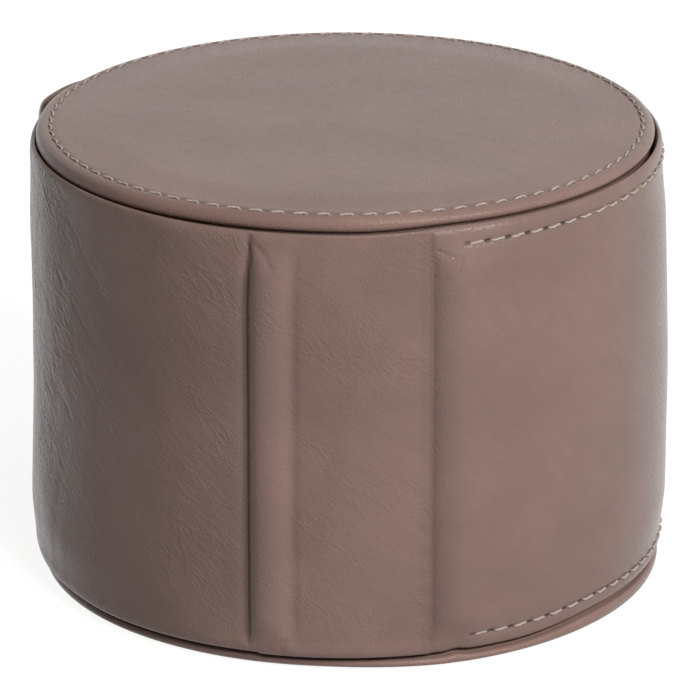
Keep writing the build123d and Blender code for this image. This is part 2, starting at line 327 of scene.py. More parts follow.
def nodes_of(name):
    """A material without nodes yet, and its tree."""
    material = bpy.data.materials.new(name)
    material.use_nodes = True
    material.node_tree.nodes.clear()
    return material, material.node_tree


def add_node(kind, inputs, tree=None, **settings):
    """A node whose inputs each take a value of their own or the output of another node of its tree."""
    links = {socket: value for socket, value in inputs.items() if isinstance(value, bpy.types.NodeSocket)}
    tree = tree or [*links.values()][0].id_data
    node = tree.nodes.new(f"ShaderNode{kind}")
    for setting, value in settings.items():
        setattr(node, setting, value)
    for socket, value in inputs.items():
        if socket in links:
            tree.links.new(value, node.inputs[socket])
        else:
            node.inputs[socket].default_value = value
    return node


def completed(material, tone, normal, roughness, even=None):
    """The material with its shader, which takes a colour, a bump, a roughness and values even all over."""
    inputs = {"Base Color": tone, "Normal": normal, "Roughness": roughness, **(even or {})}
    shader = add_node("BsdfPrincipled", inputs)
    add_node("OutputMaterial", {"Surface": shader.outputs["BSDF"]})
    return material


def attribute(place, name):
    """The number of that name stored with each point, in the tree of a place."""
    return add_node("Attribute", {}, place.id_data, attribute_name=name).outputs["Fac"]


def started(name, carried=True):
    """A new material, and where a point lies in millimetres.

    Places are stored on the scene's pieces, and worked out on the carried-over CAD nodes."""
    material, tree = nodes_of(name)
    if not carried:
        return material, add_node("Attribute", {}, tree, attribute_name="surface").outputs["Vector"]
    place = add_node("TexCoord", {}, tree).outputs["Object"]
    return material, add_node("VectorMath", {0: place, "Scale": 1 / MM}, operation="SCALE").outputs[0]


def drawn_out(place, heading, longer):
    """The same places with what lies along a heading drawn out by a factor."""
    inputs = {"Vector": place, "Rotation": (0, 0, math.radians(heading)), "Scale": (longer, 1, 1)}
    return add_node("Mapping", inputs, vector_type="TEXTURE").outputs["Vector"]


def noise(place, scale, detail=3.0, roughness=0.55, distortion=0.0, stretch=None, output="Fac"):
    """Noise whose scale is in features a millimetre, drawn out along a heading if asked."""
    if stretch is not None:
        place = drawn_out(place, *stretch)
    inputs = {"Vector": place, "Scale": scale, "Detail": detail, "Roughness": roughness}
    return add_node("TexNoise", {**inputs, "Distortion": distortion}).outputs[output]


def cells(place, scale, feature="DISTANCE_TO_EDGE"):
    node = add_node("TexVoronoi", {"Vector": place, "Scale": scale}, feature=feature)
    return node.outputs["Distance"]


def ranged(value, low, high, new_low=0.0, new_high=1.0):
    inputs = {"Value": value, "From Min": low, "From Max": high, "To Min": new_low, "To Max": new_high}
    return add_node("MapRange", inputs, interpolation_type="SMOOTHSTEP").outputs["Result"]


def maths(operation, first, second):
    return add_node("Math", {0: first, 1: second}, operation=operation).outputs[0]


def mixed(share, first, second):
    """One colour over another by a share."""
    first, second = ((*tone, 1) if isinstance(tone, tuple) else tone for tone in (first, second))
    return add_node("Mix", {0: share, 6: first, 7: second}, data_type="RGBA").outputs[2]


def bump(height, distance, under=None):
    """A bump of that height in millimetres, laid over another one."""
    inputs = {"Height": height, "Distance": distance * MM, "Strength": 1}
    if under is not None:
        inputs["Normal"] = under
    return add_node("Bump", inputs).outputs["Normal"]


def shaded(colour, factor):
    return tuple(channel * factor for channel in colour)


def leather_material(name, colour, wrinkled=False):
    """Smooth leather: fine grain and pores, cloudy colour, soft sheen, and painted shade that darkens it in
    its holes and folds.
    """
    material, place = started(name, False)
    grain = cells(place, 1.5)
    pores = ranged(cells(place, 1.1, "F1"), 0.05, 0.22)
    fine = noise(place, 2.6, 5)
    clouds = ranged(noise(place, 0.05, 4), 0.35, 0.65)
    streaks = ranged(noise(place, 0.5, 4, stretch=(-50, 4.0)), 0.3, 0.7)
    tone = mixed(clouds, shaded(colour, 0.93), shaded(colour, 1.06))
    tone = mixed(ranged(streaks, 0, 1, 0, 0.25), tone, shaded(colour, 0.90))
    tone = mixed(ranged(pores, 0, 1, 0.20, 0), tone, shaded(colour, 0.62))
    rough = ranged(fine, 0.3, 0.7, 0.20, 0.28)
    normal = bump(ranged(grain, 0, 0.35), 0.022)
    normal = bump(fine, 0.03, under=normal)
    normal = bump(pores, 0.02, under=normal)
    # Painted shade: each point's stored mark darkens the colour in needle holes, creases and folds.
    painted_shade_share = maths("MULTIPLY", attribute(place, "painted_shade"), 0.95)
    tone = mixed(painted_shade_share, tone, shaded(colour, 0.08))
    if wrinkled:
        normal = bump(wrinkle_height(place), 0.10, under=normal)
    return completed(material, tone, normal, rough, {"Specular IOR Level": 0.145})


def bent(place, scale, reach):
    """The same places moved about by soft noise, so that lines drawn there aren't straight."""
    shifts = noise(place, scale, 3, 0.5, output="Color")
    inputs = {0: shifts, 1: (reach, reach, 0), 2: place}
    return add_node("VectorMath", inputs, operation="MULTIPLY_ADD").outputs[0]


def wrinkle_height(place):
    """A net of folds where the leather is worn, and a finer, fainter one where it is only soft."""
    moved = bent(place, 0.22, 3.0)
    coarse = ranged(cells(drawn_out(moved, -34, 3.0), 0.62), 0.0, 0.15)
    net = ranged(cells(drawn_out(moved, -38, 4.0), 0.80), 0.0, 0.15)
    kept = ranged(noise(place, 0.14, 3, stretch=(-38, 3.0)), 0.42, 0.62)
    fine = maths("SUBTRACT", 1.0, maths("MULTIPLY", maths("SUBTRACT", 1.0, net), kept))
    patches = ranged(noise(place, 0.07, 2), 0.36, 0.62)
    worn = maths("MULTIPLY", attribute(place, "wear"), patches)
    netted = maths("MULTIPLY", maths("SUBTRACT", coarse, 1.0), worn)
    lined = maths("MULTIPLY", maths("SUBTRACT", fine, 1.0), attribute(place, "lines"))
    return maths("ADD", netted, lined)


def suede_material(name, colour, carried=False):
    """Soft suede: a short brushed nap with clouds where it lies another way."""
    material, place = started(name, carried)
    nap = noise(place, 3.2, 6, 0.7)
    brushed = ranged(noise(place, 0.09, 4, distortion=0.6), 0.35, 0.65)
    tone = mixed(brushed, shaded(colour, 0.80), shaded(colour, 1.10))
    tone = mixed(ranged(nap, 0.35, 0.65, 0, 0.5), tone, shaded(colour, 0.72))
    even = {"Specular IOR Level": 0.2, "Sheen Weight": 0.35}
    return completed(material, tone, bump(nap, 0.12), 0.92, even)


def thread_material():
    """Waxed linen thread, cream, with painted shade between its plies and where it enters the leather."""
    material, place = started("thread", False)
    fibres = noise(place, 5.0, 4, 0.7, stretch=(0, 3.0))
    dark, light, deep = (shaded(THREAD_COLOUR, factor) for factor in (0.82, 1.12, 0.48))
    tone = mixed(ranged(fibres, 0.35, 0.65), dark, light)
    # Painted shade between the plies and at the ends, from each point's stored mark.
    tone = mixed(attribute(place, "painted_shade"), tone, deep)
    return completed(material, tone, bump(fibres, 0.05), 0.62, {"Sheen Weight": 0.15})


def foam_material():
    """Cream open-cell foam."""
    material, place = started("foam")
    holes = ranged(cells(place, 1.6, "F1"), 0.1, 0.5)
    fine = noise(place, 2.0, 4)
    tone = mixed(holes, (0.42, 0.38, 0.29), (0.74, 0.70, 0.59))
    tone = mixed(ranged(fine, 0.3, 0.7, 0, 0.3), tone, (0.60, 0.55, 0.44))
    return completed(material, tone, bump(holes, 0.3), 0.95)


def fibreboard_material():
    """Grey-brown pressed board with short fibres."""
    material, place = started("fibreboard")
    fibres = noise(place, 1.5, 6, 0.7, stretch=(20, 4.0))
    specks = ranged(cells(place, 0.8, "F1"), 0.04, 0.12)
    tone = mixed(ranged(fibres, 0.3, 0.7), (0.23, 0.16, 0.105), (0.42, 0.31, 0.21))
    tone = mixed(ranged(specks, 0, 1, 0.6, 0), tone, (0.08, 0.06, 0.045))
    return completed(material, tone, bump(fibres, 0.08), 0.85)


def cord_material():
    """Matt black cord of the rib strips."""
    material, place = started("rib_cord")
    mottle = noise(place, 1.4, 5)
    tone = mixed(ranged(mottle, 0.3, 0.7), (0.055, 0.055, 0.055), (0.11, 0.11, 0.11))
    return completed(material, tone, bump(mottle, 0.05), 0.7)


def metal_material(name, colour, roughness):
    """Plain metal with fine turning marks and small stains."""
    material, place = started(name)
    marks = noise(place, 5.0, 4, stretch=(0, 15.0))
    stains = ranged(noise(place, 0.4, 4), 0.45, 0.7)
    tone = mixed(stains, colour, shaded(colour, 0.7))
    rough = ranged(marks, 0.3, 0.7, roughness - 0.06, roughness + 0.1)
    return completed(material, tone, bump(marks, 0.01), rough, {"Metallic": 1.0})


# Wrap

def section_rows():
    """Stations round the wrap's section: under the foot, up the outer face, over the top, down inside.

    Each has a height, a depth as a share of the thickness, how far relief shows there, how far the
    edge is turned in there, and its distance along the section."""
    rise, drop = 2.0, 0.9
    face = graded(WRAP_BOTTOM + rise, WRAP_TOP - rise, 0.5, ROW_HEIGHTS, 0.14)
    turn = np.radians(np.linspace(0, 90, 10)[1:])
    tuck = np.radians(np.linspace(90, 180, 8)[1:])
    inside = np.linspace(WRAP_TOP - drop, WRAP_BOTTOM + drop, 36)[1:-1]
    top = WRAP_TOP - rise + rise * np.sin(turn)
    top_in = WRAP_TOP - drop + drop * np.sin(tuck)
    depth_out = EDGE_SHARE * (1 - np.cos(turn))
    depth_in = EDGE_SHARE - (1 - EDGE_SHARE) * np.cos(tuck)
    turned_in = np.sin(tuck)
    mirrored = WRAP_TOP + WRAP_BOTTOM
    heights = [(mirrored - top_in)[::-1], (mirrored - top)[::-1], face, top, top_in, inside]
    depths = [depth_in[::-1], depth_out[::-1], 0 * face, depth_out, depth_in, 0 * inside + 1]
    shows = [0 * tuck, np.cos(turn)[::-1], 0 * face + 1, np.cos(turn), 0 * tuck, 0 * inside]
    beads = [turned_in[::-1], 0 * turn, 0 * face, 0 * turn, turned_in, 0 * inside]
    heights, depths, shows, beads = (np.concatenate(parts) for parts in (heights, depths, shows, beads))
    steps = np.hypot(np.diff(heights), SHELL_THICKNESS * np.diff(depths))
    return heights, depths, shows, beads, np.concatenate([[0], np.cumsum(steps)])


def ribs_and_creases(place, height):
    """Relief of the two ribs and their creases, and the painted shade each point takes in the creases.

    The left rib is steep beside its crease and eases off to the right; the right one is gentler."""
    crease_width, left_crest, left_foot, right_crest, right_height = 0.75, 2.8, 5.4, 4.9, 1.35
    left, right = place - LEFT_FOLD - 0.6 * rising(height, 60, 14), place - RIGHT_FOLD
    ribs = rising(height, 4.0, 5.5) * falling(height, WRAP_TOP - 0.8, 6.5)
    grooves = rising(height, 3.2, 3.0) * falling(height, WRAP_TOP + 0.3, 1.2)
    sharp = np.exp(-(np.abs(left) / crease_width) ** 1.4) * grooves
    gentle = np.exp(-(np.abs(right) / crease_width) ** 1.5) * grooves
    panel = rising(left, left_foot, 3.2) * falling(right, 0.3, 2.2) * grooves
    roundness = np.where(left < left_crest, 7.4, 12.0)
    cord = (1.0 - (left - left_crest) ** 2 / roundness) * rising(left, -0.4, 0.9)
    cord = cord * (1 - rising(left, left_foot, 3.2))
    swell = right_height - 0.078 * np.clip(right_crest - right, 0, 5.2) ** 2
    levelled = 0.3 * rising(right, right_crest, 4.8) + 0.7 * rising(right, 10, 22)
    relief = cord * ribs + swell * (1 - levelled) * rising(right, -0.3, 0.9) * ribs
    relief -= CREASE_DEPTHS[0] * sharp + CREASE_DEPTHS[1] * gentle + PANEL_DEPTH * panel
    return relief, np.maximum(CREASE_SHADES[0] * sharp ** 2, CREASE_SHADES[1] * gentle ** 2)


def rib_end_creases(place, height):
    """Small folds over the ends of the ribs, with painted shade in them, and ruffles along the right
    crease.
    """
    right = place - RIGHT_FOLD
    folds = 0 * place
    for run, rib_folds in ((place - LEFT_FOLD, LEFT_RIB_FOLDS), (right, RIGHT_RIB_FOLDS)):
        for strength, *form in rib_folds:
            folds = folds + strength * crease(run, height, *form)
    ruffles = np.sin(2 * math.pi * height / 3.4 + 0.8 * np.sin(height / 2.3))
    ruffled = bell(right + 0.9, 1.2) * falling(height, 33, 10) * rising(height, 4, 4)
    return -0.20 * folds + 0.06 * ruffles * ruffled, 0.12 * folds


def row_run(row):
    """Where a row's first and last stitch have their middles, along the wrap, and the pitch."""
    start = arc_length(RIGHT_CREASE_ANGLE) + ROW_STARTS[row]
    end = SHELL_END - ROW_END_MARGIN
    return start, end, (end - start) / (ROW_STITCHES - 1)


def row_marks(place, height):
    """Relief of the two stitch rows and their needle holes, and the painted shade each point takes in the
    holes.
    """
    valley_width, hole_length, hole_width, past_end, fade = 0.62, 0.70, 0.24, 3.0, 2.0
    relief = np.zeros_like(place)
    holes = np.zeros_like(place)
    for row, row_height in enumerate(ROW_HEIGHTS):
        start, end, pitch = row_run(row)
        inside_row = rising(place - start, -past_end, fade) * falling(place, end + past_end, fade)
        from_hole = (place - start) / pitch - 0.5
        from_hole = (from_hole - np.round(from_hole)) * pitch
        off_row = height - row_height
        valley = bell(off_row, valley_width) * inside_row
        hole = np.exp(-(from_hole / hole_length) ** 4 - (off_row / hole_width) ** 2) * inside_row
        relief -= 0.14 * valley + 0.30 * hole
        holes += hole
    return relief, 0.95 * holes


def leather_unevenness(place, height):
    """Softness and worn creases of the leather: strong on the flap, light on the shell."""
    angle = np.degrees(place / WRAP_RADIUS)
    on_flap = falling(angle, LEFT_CREASE_ANGLE, 3)
    on_shell = rising(angle - RIGHT_CREASE_ANGLE, -0.6, 3)
    on_panel = (1 - on_flap) * (1 - on_shell)

    def weighed(flap, panel, shell):
        return flap * on_flap + panel * on_panel + shell * on_shell

    soft = ripples(place, height, 11, 14, 40) * weighed(0.08, 0.06, 0.035)
    soft = soft + ripples(place, 0.5 * height, 12, 4, 9) * weighed(0.018, 0.018, 0)
    worn = 0 * place
    for strength, seed, count, angles, heights, *form in WORN_CREASES:
        region = ([arc_length(end) for end in angles], heights)
        worn = worn + strength * creases(place, height, seed, count, region, *form)
    worn = np.minimum(worn, 1.4) * falling(height, WRAP_TOP - 0.8, 2) * rising(height - WRAP_BOTTOM, 1.5, 3)
    wear = on_flap * (0.25 + 0.75 * falling(angle, 218, 16)) * rising(height, 12, 20)
    # Returns the relief, the painted shade in the worn creases, where the wrinkle bump shows, and how
    # strong its fine lines are.
    return soft - 0.075 * worn, 0.07 * worn, wear, weighed(0.44, 0.32, 0.04)


def soft_outline(place, height):
    """How far the soft wrap stands off a true cylinder: in on the left, out on the right."""
    angle = np.degrees(place / WRAP_RADIUS)
    on_left = falling(angle, 248, 40)
    on_right = rising(angle, 292, 35) * falling(angle, 450, 40)
    near_top = rising(height, 60, 10)
    left = 0.6 * falling(height, 34, 22) - 0.5 - 0.12 * near_top - 0.5 * falling(height, 12, 7)
    right = 0.83 * falling(height, 66, 30) - 0.65 * near_top - 0.65 * falling(height, 14, 9)
    return on_left * left + on_right * right


def upper_edge_drop(angle):
    """How far the wrap's upper edge, and the lip beside it, lie below their mean height."""
    return 0.55 * falling(angle, 291, 20) - 0.3 * falling(angle, 168, 10) - 0.1


def lower_edge_lift(place):
    """How far the wrap's lower edge lies above its mean height, with a nick by the right rib."""
    angle = np.degrees(place / WRAP_RADIUS)
    nick = bell(place - RIGHT_FOLD - 4.6, 1.5)
    on_flap = 0.25 * falling(place, LEFT_FOLD + 2.2, 1.0) + 0.35 * falling(angle, 225, 20)
    return on_flap + 0.35 * nick + rising(angle, 301, 22) - LOWER_EDGE_MEAN


def tip_fall(to_tip):
    """How far the upper edge falls towards the flap's tip, over what its round corner takes."""
    return 0.7 * falling(to_tip, 12, 12)


def flap_step(angle):
    """How far the flap steps out, near its tip, to lie over the shell's end; angle is in radians."""
    start, end = RAMP_ANGLES
    return OVERLAP_STEP * (1 - rising(np.degrees(angle), start, end - start))


def quarter_round(to_end, radius):
    """0 at an end and 1 from radius on, along a quarter of a circle."""
    return np.sqrt(1 - (1 - np.clip(to_end / radius, 0, 1)) ** 2)


def rounded_corner(to_end, radius):
    """How far a round corner lies in from the edge, that far from the end."""
    return radius * (1 - quarter_round(to_end, radius))


def skin_grid():
    """Points of the wrap's leather from the flap's tip round the front to the shell's end."""
    ends = (FLAP_TIP, SHELL_END)
    places = graded(*ends, 0.42, (*ends, LEFT_FOLD, RIGHT_FOLD), 0.1)
    heights, depths, shows, beads, along = section_rows()
    place, height = grid(places, heights)
    relief, dark = ribs_and_creases(place, height)
    for marks in (rib_end_creases(place, height), row_marks(place, height)):
        relief = relief + marks[0]
        dark = np.maximum(dark, marks[1])
    uneven, faint, wear, lines = leather_unevenness(place, height)
    to_end = np.minimum(place - ends[0], ends[1] - place)
    rounding = quarter_round(to_end, END_ROUNDING)
    angle = place / WRAP_RADIUS
    past_crease = rising(place - RIGHT_FOLD, -0.4, 0.8)
    thickness = FLAP_THICKNESS + (SHELL_THICKNESS - FLAP_THICKNESS) * past_crease
    inner = WRAP_RADIUS + flap_step(angle) - thickness
    past_ramp = rising(np.degrees(angle), RAMP_ANGLES[1], 6)
    turned_in = EDGE_TURNED_IN * beads * (1 - past_crease) * past_ramp
    outward = (thickness + soft_outline(place, height)) * (1 - depths)
    radius = inner + (outward + (relief + uneven) * shows - turned_in) * rounding
    corner = rounded_corner(place - ends[0], FLAP_CORNER) + rounded_corner(ends[1] - place, SHELL_CORNER)
    fall = tip_fall(place - ends[0]) + upper_edge_drop(np.degrees(angle))
    fall = fall * rising(height, *UPPER_ZONE) - lower_edge_lift(place) * falling(height, *LOWER_ZONE)
    height = ROLL_MIDDLE + (height - ROLL_MIDDLE) * (1 - corner / (WRAP_TOP - ROLL_MIDDLE)) - fall
    points, surface = round_axis(radius, angle, height), stacked(place, along, 0)
    # Painted shade in the creases, folds and needle holes, where relief shows.
    marks = {"painted_shade": np.maximum(dark, faint) * shows, "wear": wear * shows, "lines": lines * shows}
    return places, points, surface, marks


def bend_at_right_crease(piece):
    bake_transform(piece)


def bend_at_left_crease(piece):
    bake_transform(piece)


def split_pieces(name, places, points, surface, marks, closed, material, slot):
    """The left, right and back pieces of a layer, which meet where it doesn't bend."""
    normals = grid_normals(points, closed)
    cuts = [0, len(places) - 1]
    for angle in (PANEL_SPLIT_ANGLE, SHELL_SPLIT_ANGLE):
        cuts.insert(-1, int(np.argmin(np.abs(places - arc_length(angle)))))
    made = []
    for side, first, last in zip(("left", "right", "back"), cuts[:-1], cuts[1:]):
        part = slice(first, last + 1)
        faces = grid_faces(last + 1 - first, points.shape[1], closed)
        kept = {mark: values[part] for mark, values in marks.items()}
        piece = mesh_object(f"{name}_{side}", points[part], faces, normals[part], kept, surface[part])
        made.append(finished(piece, material))
    left, right, back = made
    bend_at_left_crease(left)
    bend_at_right_crease(right)
    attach(back, "case")
    return left, right, back


def make_skin(material):
    left, right, back = split_pieces("skin", *skin_grid(), True, material, "outer_leather")
    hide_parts("flap_leather", "panel_leather")
    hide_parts("shell_leather", "panel_leather")
    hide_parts("shell_leather")


def make_left_rib_cord(material):
    """The half-round cord under the left rib, set where the leather's ridge is."""
    half_width, crown, base, half_length = 2.4, 1.05, WRAP_RADIUS - LEATHER, 30.5
    share, up = grid(np.linspace(-1, 1, 17), np.linspace(-1, 1, 61))
    ends = np.sqrt(np.clip(1 - np.abs(up) ** 16, 0, 1))
    top = base + 0.02 + crown * np.sqrt(np.clip(1 - share ** 2, 0, 1)) * ends
    closed = np.concatenate([top, np.full_like(top, base)])
    share = np.concatenate([share, share[::-1]])
    up = np.concatenate([up, up[::-1]])
    angle = (LEFT_FOLD + 3.2 + half_width * share) / WRAP_RADIUS
    points = round_axis(closed, angle, ROLL_MIDDLE + half_length * up)
    faces = grid_faces(points.shape[0], points.shape[1], False, wrapped=True)
    piece = mesh_object("left_rib_cord", points, faces)
    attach(finished(piece, material), "hinge_panel")
    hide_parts("left_rib_strip")


def pad_grid():
    """Inner face and sides of the lining over the padding, from the flap round to the shell's end."""
    ends = (arc_length(PAD_END_ANGLE), SHELL_END)
    folds = (arc_length(LEFT_CREASE_ANGLE), arc_length(RIGHT_CREASE_ANGLE))
    places = graded(*ends, 1.1, (*ends, *folds), 0.15)
    turn = np.radians(np.linspace(0, 90, 9))
    roll = 1.5
    side = np.linspace(0, 1, 3)[:-1]
    low = PAD_LOW + roll - roll * np.cos(turn)
    depth = roll - roll * np.sin(turn)
    face = np.linspace(PAD_LOW + roll, PAD_HIGH - roll, 60)[1:-1]
    thickness = LINING_INNER - PAD_INNER
    over, flank = (PAD_LOW + PAD_HIGH - low)[::-1], thickness - side * (thickness - roll)
    heights = np.concatenate([0 * side + PAD_LOW, low, face, over, 0 * side + PAD_HIGH])
    outward = np.concatenate([flank, depth, 0 * face, depth[::-1], flank[::-1]])
    place, height = grid(places, heights)
    to_end = np.minimum(place - ends[0], ends[1] - place)
    rounding = quarter_round(to_end, roll)
    shows = 1 - np.clip(outward / roll, 0, 1)
    uneven = np.minimum(0.14 * ripples(place, height, 31, 9, 26), 0.22) * shows
    at_fold = sum(bell(place - fold, 1.3) for fold in folds)
    radius = PAD_INNER + thickness - (thickness - outward) * rounding + uneven * rounding
    radius = radius + 0.7 * at_fold * shows
    angle = place / WRAP_RADIUS
    points, surface = round_axis(radius, angle, height), stacked(place, height + outward, 0)
    # A painted-shade mark along the folds by the hinges; the suede material doesn't read it.
    return places, points[:, ::-1], surface[:, ::-1], {"painted_shade": (0.5 * at_fold * shows)[:, ::-1]}


def make_linings(material):
    left, right, back = split_pieces("lining", *pad_grid(), False, material, "suede_lining")
    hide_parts("flap_lining", "panel_lining")
    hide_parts("shell_lining", "panel_lining")
    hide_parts("shell_lining")
    make_flap_facing(material)


def make_flap_facing(material):
    """Flat lining of the flap and panel, which shows round their padding."""
    ends = (FLAP_TIP + LINING_MARGIN, arc_length(RIGHT_CREASE_ANGLE) - 0.3)
    places = graded(*ends, 1.2, (*ends, arc_length(LEFT_CREASE_ANGLE)), 0.2)
    low, high, soft = WRAP_BOTTOM + LINING_MARGIN, WRAP_TOP - LINING_MARGIN, 0.2
    inner = np.linspace(high - soft, low + soft, 40)
    heights = np.concatenate([inner, [low, low, low + soft, high - soft, high, high]])
    inset = np.concatenate([0 * inner, [soft, 0.3, 0.35, 0.35, 0.3, soft]])
    place, height = grid(places, heights)
    angle = place / WRAP_RADIUS
    corner = rounded_corner(place - ends[0], FLAP_CORNER - LINING_MARGIN)
    corner = corner + tip_fall(place - ends[0] + LINING_MARGIN) + upper_edge_drop(np.degrees(angle))
    corner = corner + FACING_TUCK
    height = ROLL_MIDDLE + (height - ROLL_MIDDLE) * (1 - corner / (high - ROLL_MIDDLE))
    radius = LINING_INNER + flap_step(angle) + inset
    points, surface = round_axis(radius, angle, height), stacked(place, height, inset)
    faces = grid_faces(len(places), len(heights), True)[:, ::-1]
    piece = mesh_object("flap_facing", points, faces, None, {"painted_shade": 0 * place}, surface)
    bend_at_left_crease(finished(piece, material))
    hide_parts("flap_lining", "panel_lining")


# End discs

def disc_profile():
    """Stations of an end cover, a radius and a depth below its face each.

    They run from the middle over the rolled lip and its undercut, down the side, to the turned-in rim."""
    inside_lip = DISC_RADIUS - DISC_LIP_WIDTH
    inward, down = DISC_UNDERCUT
    side_radius = DISC_RADIUS - inward
    rim_depth = DISC_THICKNESS - DISC_LINING
    flat = graded(0.5, inside_lip, 4.0, (DISC_STITCH_RADIUS,), 0.13, 0.10)
    turn = np.radians(np.linspace(0, 90, 13)[1:])
    side = np.linspace(DISC_LIP_DEPTH + down, rim_depth - 0.5, 7)[1:]
    radii = np.concatenate([
        flat, inside_lip + DISC_LIP_WIDTH * np.sin(turn), side_radius + inward * np.cos(turn),
        0 * side + side_radius, [side_radius - 0.15, side_radius - 0.5, DISC_RADIUS - TURN_IN_WIDTH],
    ])
    depths = np.concatenate([
        0 * flat, DISC_LIP_DEPTH * (1 - np.cos(turn)), DISC_LIP_DEPTH + down * np.sin(turn),
        side, [rim_depth - 0.15, rim_depth, rim_depth],
    ])
    return radii, depths


def disc_stitch_count():
    return round(2 * math.pi * DISC_STITCH_RADIUS / STITCH_PITCH)


def round_from_back(turn):
    """The same angle in degrees, counted as along the wrap, with the flap's side first."""
    return 120 + (np.degrees(turn) - 120) % 360


def lip_droop(end, turn):
    """How much deeper the rolled lip is where the wrap's edge lies farther from the face."""
    if end == "upper":
        angle = round_from_back(turn)
        return upper_edge_drop(angle) + 0.35 * falling(angle, 258, 58) - 0.18
    lift = lower_edge_lift(np.radians(round_from_back(-turn)) * WRAP_RADIUS)
    return 0.9 * (lift + LOWER_EDGE_MEAN) - 0.55


def lip_swell(end, turn):
    """How far a lip bulges beyond the disc's radius: the upper on the left, the lower on the right."""
    if end == "upper":
        angle, back = round_from_back(turn), np.sin(turn)
        behind = rising(back, 0.25, 0.3) * falling(back, 0.97, 0.1)
        return 0.4 * falling(angle, 250, 45) * rising(angle, 150, 15) - 0.25 * behind
    angle = round_from_back(-turn)
    return 0.25 + 1.5 * rising(angle, 262, 30) * falling(angle, 430, 60)


def disc_grid(end, seam_depth):
    """An end cover from its middle ring outward, drawn down along the seam, with its needle holes, and
    painted shade in them and along the seam.
    """
    hole_length, hole_width, hole_depth, valley_width, dome = 0.62, 0.20, 0.14, 0.5, 0.38
    radii, depths = disc_profile()
    points_round = disc_stitch_count() * POINTS_PER_STITCH
    turns = np.arange(points_round) / points_round * 2 * math.pi
    radius, turn = grid(radii, turns)
    depths = depths[:, None]
    depth = depths + lip_droop(end, turn) * rising(depths, 0.3, 1.7)
    radius = radius + lip_swell(end, turn) * rising(radius, 48.4, 1.3) * falling(depths, 3.0, 0.9)
    on_face = falling(depth, DISC_LIP_DEPTH, 0.8)
    off_seam = radius - DISC_STITCH_RADIUS
    from_hole = turn / (2 * math.pi) * disc_stitch_count() - 0.5
    from_hole = (from_hole - np.round(from_hole)) * STITCH_PITCH
    hole = np.exp(-(from_hole / hole_length) ** 2 - (off_seam / hole_width) ** 2)
    valley = bell(off_seam, valley_width)
    across, along = radius * np.cos(turn), radius * np.sin(turn)
    uneven = 0.045 * ripples(across, along, 41, 12, 40) + 0.012 * ripples(across, along, 42, 2.5, 6)
    cushioned = dome * falling(radius, 47.4, 9)
    relief = uneven * falling(radius, 46, 14) + cushioned - seam_depth * valley - hole_depth * hole
    relief = relief * on_face
    if end == "lower":
        relief = np.minimum(relief, 0)
    points = stacked(across, along, ROLL_HEIGHT - depth + relief)
    surface = stacked(across, along, DISC_GRAIN_LEVEL)
    surface[..., 0] += (depth - 0.5) * np.cos(turn)
    surface[..., 1] += (depth - 0.5) * np.sin(turn)
    if end == "lower":
        points = points * (1, -1, -1) + (0, 0, ROLL_HEIGHT)
    return points, surface, (0.34 * hole + 0.04 * valley) * on_face


def make_end_cover(end, material, seam_depth):
    """Leather over an end disc, closed in its middle."""
    # The third value is the painted shade in the needle holes and along the seam.
    points, surface, painted_shade = disc_grid(end, seam_depth)
    rows, columns = painted_shade.shape
    first = np.arange(columns)
    hub = stacked(first, (first + 1) % columns, rows * columns)
    faces = grid_faces(rows, columns, True)[:, ::-1].tolist() + hub.tolist()
    points, surface = (
        np.concatenate([values.reshape(-1, 3), values[0].mean(axis=0, keepdims=True)])
        for values in (points, surface)
    )
    piece = mesh_object(f"{end}_cover", points, faces, None, {"painted_shade": np.append(painted_shade, 0)}, surface)
    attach(finished(piece, material), "case")
    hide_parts(f"{end}_end_cover")


# Thread

def stitch_form(sink):
    """One saddle stitch along X, seen from above: two plies twisted, arched, its ends in the leather."""
    half_length, half_width, half_height, twist_length = 1.36, 0.20, 0.18, 1.4
    round_it = np.arange(12) / 12 * 2 * math.pi
    along, turn = grid(np.linspace(-1, 1, 19), round_it)
    twist = 2 * math.pi * along * half_length / twist_length
    ply = 1 + 0.13 * np.cos(2 * (turn - twist))
    taper = 1 - 0.4 * np.abs(along) ** 6
    lift = 0.10 - sink - 0.55 * np.abs(along) ** 5
    side = half_width * ply * taper * np.cos(turn) + 0.10 * np.sin(math.pi * along)
    up = lift + half_height * ply * taper * np.sin(turn)
    # How much painted shade each point takes: between the twisted plies, and at the ends that dip into the
    # leather.
    groove = np.clip(0.16 * (1 - np.cos(2 * (turn - twist))) + 0.9 * np.abs(along) ** 8, 0, 1)
    return stacked(half_length * along, side, up), groove, along * half_length


def make_stitches(name, node, frames, slant, sink):
    """A row of stitches. Each frame is a middle point and its along, side and up directions."""
    slant_spread, length_spread, grain_step = 1.6, 0.03, 9.0
    form, groove, run = stitch_form(sink)
    stretched = stacked(run, form[..., 1], form[..., 2]).reshape(-1, 3)
    faces = grid_faces(*groove.shape, True)
    dice = np.random.default_rng(5)
    points, all_faces, surface = [], [], []
    for index, (middle, along, side, up) in enumerate(frames):
        turn = math.radians(slant + slant_spread * dice.standard_normal())
        tilted = along * math.cos(turn) + side * math.sin(turn)
        crosswise = side * math.cos(turn) - along * math.sin(turn)
        longer = (1 + length_spread * dice.standard_normal(), 1, 1)
        points.append(middle + form.reshape(-1, 3) * longer @ np.array([tilted, crosswise, up]))
        all_faces.append(faces + index * groove.size)
        surface.append(stretched + (grain_step * index, 0, 0))
    # Each point's painted shade, between the plies and at the ends.
    marks = {"painted_shade": np.tile(groove.ravel(), len(frames))}
    points, faces, surface = (np.concatenate(parts) for parts in (points, all_faces, surface))
    piece = mesh_object(name, points, faces, None, marks, surface)
    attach(finished(piece, thread), "case")
    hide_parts(node)


